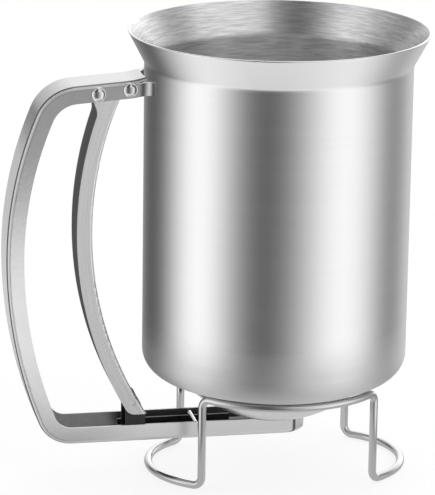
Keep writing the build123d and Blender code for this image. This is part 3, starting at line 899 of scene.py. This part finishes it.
# ---- Operators ---------------------------------------------------------------------------
class DISPENSER_OT_studio(bpy.types.Operator):
    """Set the camera, the white room with its light panels, and the floor"""

    bl_idname = "dispenser.studio"
    bl_label = "Studio"

    def execute(self, context):
        s = context.scene.dispenser_studio
        camera = link(
            bpy.data.objects.new("studio_camera", bpy.data.cameras.new("studio_camera"))
        )
        camera.data.lens = s.lens
        camera.data.sensor_width = 36.0
        camera.data.clip_start, camera.data.clip_end = 0.05, 50.0
        camera.matrix_world = Matrix.LocRotScale(
            Vector(s.camera_place), Euler(s.camera_turn), None
        )
        context.scene.camera = camera
        context.scene.view_settings.view_transform = "Standard"
        self.light_room(context, s)
        self.lay_floor(s)
        grip = Vector((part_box("handle_channel")[0].x, 0, GRIP_RISE))
        for name, (direction, distance, size) in HANDLE_LAMPS.items():
            self.soft_lamp(name, grip, direction, distance, size, getattr(s, name))
        return {"FINISHED"}

    def soft_lamp(self, name, aim, direction, distance, size, strength):
        """Area lamp of this brightness that only the handle takes light from."""
        lamp = link(bpy.data.objects.new(name, bpy.data.lights.new(name, "AREA")))
        lamp.data.shape = "RECTANGLE"
        lamp.data.size, lamp.data.size_y = size
        lamp.data.energy = strength * pi * size[0] * size[1]
        way = Vector(direction).normalized()
        lamp.matrix_world = Matrix.LocRotScale(
            aim + way * distance, way.to_track_quat("Z", "Y"), None
        )
        lamp.light_linking.receiver_collection = handle_group()

    def light_room(self, context, s):
        """Room of soft light panels; the camera itself sees plain white."""
        world = bpy.data.worlds.new("studio_room")
        world.use_nodes = True
        context.scene.world = world
        tree = world.node_tree
        tree.nodes.clear()
        x, y, z = parts_of(tree, node(tree, "ShaderNodeTexCoord").outputs["Generated"])
        level = calc(tree, "MAXIMUM", length(tree, x, y), 1e-4)
        facing = degrees(atan2(s.camera_place[1], s.camera_place[0]))

        def share_of(turn, reach, power):
            """How much of a soft panel a direction faces; turn and reach are degrees."""
            heading = radians(facing + turn)
            ahead = calc(
                tree,
                "ADD",
                calc(tree, "MULTIPLY", x, cos(heading)),
                calc(tree, "MULTIPLY", y, sin(heading)),
            )
            edge = cos(radians(reach))
            past = calc(tree, "SUBTRACT", calc(tree, "DIVIDE", ahead, level), edge)
            return calc(tree, "POWER", calc(tree, "DIVIDE", past, 1 - edge, clamp=True), power)

        def room(light, panels):
            """Light with the soft panels of a table added to it."""
            for turn, reach, power, setting, part in panels:
                strength = part * getattr(s, setting)
                light = calc(
                    tree, "MULTIPLY_ADD", share_of(turn, reach, power), strength, light
                )
            return light

        beside = room(s.room_level, WALL_PANELS)
        rear = calc(tree, "MULTIPLY", share_of(*REAR_GLOW), ramp(tree, z, *REAR_RISE))
        beside = calc(tree, "MULTIPLY_ADD", rear, s.rear_lift, beside)
        overhead = room(s.ceiling, CEILING_PANELS)
        light = mix(tree, ramp(tree, z, *CEILING_RISE), beside, overhead)
        fall = calc(tree, "MULTIPLY", z, -1.0)
        light = mix(tree, ramp(tree, fall, *BELOW_FALL), light, s.below)
        path = node(tree, "ShaderNodeLightPath").outputs
        open_room = calc(tree, "MAXIMUM", path["Is Camera Ray"], path["Is Transmission Ray"])
        shown = mix(tree, open_room, light, 1.0)
        glow = node(tree, "ShaderNodeBackground", {"Color": (1, 1, 1, 1), "Strength": shown})
        node(tree, "ShaderNodeOutputWorld", {"Surface": glow.outputs["Background"]})

    def lay_floor(self, s):
        """Floor that takes the shadow; metal sees a lit ring of it, and past it the room."""
        mesh = bpy.data.meshes.new("studio_floor")
        signs = ((-1, -1), (1, -1), (1, 1), (-1, 1))
        corners = [(x * FLOOR_REACH, y * FLOOR_REACH, 0) for x, y in signs]
        mesh.from_pydata(corners, [], [(0, 1, 2, 3)])
        floor = link(bpy.data.objects.new("studio_floor", mesh))
        material = bpy.data.materials.new("White studio floor")
        material.use_nodes = True
        tree = material.node_tree
        tree.nodes.clear()

        def blended(share, first, second):
            """Blend of two shaders."""
            inputs = {0: share, 1: first, 2: second}
            return node(tree, "ShaderNodeMixShader", inputs).outputs["Shader"]

        path = node(tree, "ShaderNodeLightPath").outputs
        surface = node(tree, "ShaderNodeNewGeometry").outputs
        matt = node(tree, "ShaderNodeBsdfDiffuse", {"Color": (*s.floor_colour, 1)})
        lift = node(
            tree,
            "ShaderNodeEmission",
            {"Strength": calc(tree, "MULTIPLY", path["Is Camera Ray"], s.floor_lift)},
        )
        plain = node(
            tree, "ShaderNodeAddShader", {0: matt.outputs["BSDF"], 1: lift.outputs["Emission"]}
        )
        reach = node(
            tree, "ShaderNodeVectorMath", {0: surface["Position"]}, operation="LENGTH"
        ).outputs["Value"]
        near = ramp(tree, reach, *NEAR_END, s.floor_near, s.floor_ring)
        ring = mix(tree, ramp(tree, reach, *RING_END), near, s.floor_far)
        glow = node(tree, "ShaderNodeEmission", {"Strength": ring}).outputs["Emission"]
        clear = node(tree, "ShaderNodeBsdfTransparent").outputs["BSDF"]
        mirrored = blended(ramp(tree, reach, *LIT_END), glow, clear)
        by_metal = calc(tree, "MAXIMUM", path["Is Glossy Ray"], path["Is Shadow Ray"])
        seen = blended(by_metal, plain.outputs["Shader"], mirrored)
        from_above = blended(surface["Backfacing"], seen, clear)
        node(tree, "ShaderNodeOutputMaterial", {"Surface": from_above})
        mesh.materials.append(material)


class DISPENSER_OT_cup(bpy.types.Operator):
    """Finish the spun cup and its funnel"""

    bl_idname = "dispenser.cup"
    bl_label = "Cup and funnel"

    def execute(self, context):
        dress("cup_shell", "Spun cup steel")
        dress("funnel_dish", "Spun funnel steel")
        return {"FINISHED"}


class DISPENSER_OT_handle(bpy.types.Operator):
    """Round the sheet edges of the channel handle and finish it"""

    bl_idname = "dispenser.handle"
    bl_label = "Handle"

    def execute(self, context):
        s = context.scene.dispenser_sizes
        piece = rounded_copy(
            "channel_handle", "handle_channel", s.edge_round, finish("Pressed handle steel"),
            inside_channel(s.channel_room, middle_of("handle_channel"), 1),
        )
        piece.visible_glossy = piece.visible_shadow = False
        handle_group().objects.link(piece)
        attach(piece, "dispenser")
        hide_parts("handle_channel")
        return {"FINISHED"}


class DISPENSER_OT_trigger(bpy.types.Operator):
    """Round the sheet edges of the trigger lever and finish the gate linkage"""

    bl_idname = "dispenser.trigger"
    bl_label = "Trigger and gate"

    def execute(self, context):
        s = context.scene.dispenser_sizes
        middle = Vector((s.lever_curve[0], 0, middle_of("trigger_lever").z))
        lever = rounded_copy(
            "lever_channel", "trigger_lever", s.edge_round, finish("Brushed lever steel"),
            inside_channel(s.lever_room, middle, -1),
        )
        lever.visible_glossy = lever.visible_shadow = False
        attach(lever, "trigger")
        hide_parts("trigger_lever")
        # the gate plate and yoke carry painted shade
        dress("gate_plate", "Gate steel with painted shade")
        dress("gate_yoke", "Gate steel with painted shade")
        dress("guide_pin", "Polished rivet steel")
        dress("link_pin", "Brushed lever steel")
        return {"FINISHED"}


class DISPENSER_OT_rivets(bpy.types.Operator):
    """Make the two domed rivets across the handle"""

    bl_idname = "dispenser.rivets"
    bl_label = "Rivets"

    def execute(self, context):
        s = context.scene.dispenser_sizes
        near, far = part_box("guide_pin")
        mesh = bpy.data.meshes.new("rivet_points")
        mesh.from_pydata([middle_of("pivot_rivet"), middle_of("stop_rivet")], [], [])
        piece = run_tree(
            link(bpy.data.objects.new("rivet_points", mesh)),
            rivet_tree(),
            {
                "Head Radius": s.rivet_head_radius,
                "Head Height": s.rivet_head_height,
                "Shank Radius": s.rivet_shank_radius,
                "Grip": far.y - near.y,
                "Finish": finish("Polished rivet steel"),
            },
            "domed_rivets",
        )
        piece.data.set_sharp_from_angle(angle=SHARP_ANGLE)
        piece.visible_glossy = False
        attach(piece, "dispenser")
        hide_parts("pivot_rivet", "stop_rivet")
        return {"FINISHED"}


class DISPENSER_OT_stand(bpy.types.Operator):
    """Bend the wire stand"""

    bl_idname = "dispenser.stand"
    bl_label = "Wire stand"

    def route(self, wire):
        """The stand's closed route: two ring arcs, four legs and two curved feet."""
        low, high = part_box("wire_stand")
        level, ground = high.z - wire / 2, low.z + wire / 2
        ring_end = RING_START + atan(WIRE_BEND / RING_RADIUS)
        ring_point = Vector((cos(ring_end), sin(ring_end), 0)) * RING_RADIUS
        leg = ring_point + Vector((sin(ring_end), -cos(ring_end), 0)) * WIRE_BEND
        # the foot's centre on X, from which its end bends up into the leg
        foot_centre = (
            (FOOT_REACH**2 + WIRE_BEND**2 - leg.x**2 - leg.y**2) / (FOOT_REACH - leg.x) / 2
        )
        foot_radius = FOOT_REACH - foot_centre
        foot_end = atan2(leg.y, leg.x - foot_centre) - atan(WIRE_BEND / foot_radius)
        foot_point = Vector(
            (foot_centre + foot_radius * cos(foot_end), foot_radius * sin(foot_end), 0)
        )
        right, back, up = Vector((1, 0, 0)), Vector((0, 1, 0)), Vector((0, 0, 1))
        # from the middle of the ring's rear arc, round to the middle of the right foot
        quarter = arc(up * level, back, right, RING_RADIUS, 0, pi / 2 - ring_end, RING_STEPS)
        turn = (leg - ring_point).normalized()
        centre = ring_point + up * (level - WIRE_BEND)
        quarter += arc(centre, up, turn, WIRE_BEND, 0, pi / 2, BEND_STEPS)[1:]
        turn = (leg - foot_point).normalized()
        centre = foot_point + up * (ground + WIRE_BEND)
        quarter += arc(centre, turn, -up, WIRE_BEND, 0, pi / 2, BEND_STEPS)
        centre = right * foot_centre + up * ground
        quarter += arc(centre, right, back, foot_radius, foot_end, 0, FOOT_STEPS)[1:]
        half = quarter + [Vector((p.x, -p.y, p.z)) for p in reversed(quarter[:-1])]
        loop = half + [Vector((-p.x, p.y, p.z)) for p in reversed(half[1:-1])]
        place = Matrix.Translation(STAND_SHIFT) @ Matrix.Rotation(STAND_TURN, 4, "Z")
        return [place @ point for point in loop]

    def execute(self, context):
        s = context.scene.dispenser_sizes
        piece = run_tree(
            route_curve("stand_route", self.route(s.stand_wire), True),
            wire_tree(),
            {
                "Wire Radius": s.stand_wire / 2,
                "Facets": s.wire_facets,
                "Finish": finish("Bright stand wire"),
            },
            "bent_wire_stand",
        )
        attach(piece, "stand")
        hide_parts("wire_stand")
        return {"FINISHED"}


class DISPENSER_OT_spring(bpy.types.Operator):
    """Smooth a merged copy of the return spring and give it its finish"""

    bl_idname = "dispenser.spring"
    bl_label = "Return spring"

    def execute(self, context):
        shape = merged("return_spring")
        bmesh.ops.recalc_face_normals(shape, faces=shape.faces)
        mesh = bpy.data.meshes.new("wound_spring")
        shape.to_mesh(mesh)
        shape.free()
        mesh.shade_smooth()
        mesh.set_sharp_from_angle(angle=SHARP_ANGLE)
        mesh.materials.append(finish("Spring wire"))
        piece = link(bpy.data.objects.new("wound_spring", mesh))
        piece.visible_glossy = False
        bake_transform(piece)
        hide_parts("return_spring")
        return {"FINISHED"}


class DISPENSER_PT_panel(bpy.types.Panel):
    """Pieces and finishes of the dispenser"""

    bl_label = "Batter dispenser"
    bl_idname = "DISPENSER_PT_panel"
    bl_space_type = "VIEW_3D"
    bl_region_type = "UI"
    bl_category = "Dispenser"

    def draw(self, context):
        for operator in OPERATORS:
            self.layout.operator(operator.bl_idname)
        for group in ("dispenser_sizes", "dispenser_finish", "dispenser_studio"):
            settings = getattr(context.scene, group)
            box = self.layout.box()
            for name in settings.__annotations__:
                box.prop(settings, name)


GROUPS = {
    "dispenser_sizes": DispenserSizes,
    "dispenser_finish": DispenserFinish,
    "dispenser_studio": StudioSettings,
}
OPERATORS = (
    DISPENSER_OT_studio,
    DISPENSER_OT_cup,
    DISPENSER_OT_handle,
    DISPENSER_OT_trigger,
    DISPENSER_OT_rivets,
    DISPENSER_OT_spring,
    DISPENSER_OT_stand,
)
CLASSES = (*GROUPS.values(), *OPERATORS, DISPENSER_PT_panel)


def register():
    for cls in CLASSES:
        bpy.utils.register_class(cls)
    for name, group in GROUPS.items():
        setattr(bpy.types.Scene, name, PointerProperty(type=group))


def unregister():
    for name in GROUPS:
        delattr(bpy.types.Scene, name)
    for cls in reversed(CLASSES):
        bpy.utils.unregister_class(cls)


def main():
    register()
    for operator in OPERATORS:
        group, name = operator.bl_idname.split(".")
        getattr(getattr(bpy.ops, group), name)()


if __name__ == "__main__":
    main()
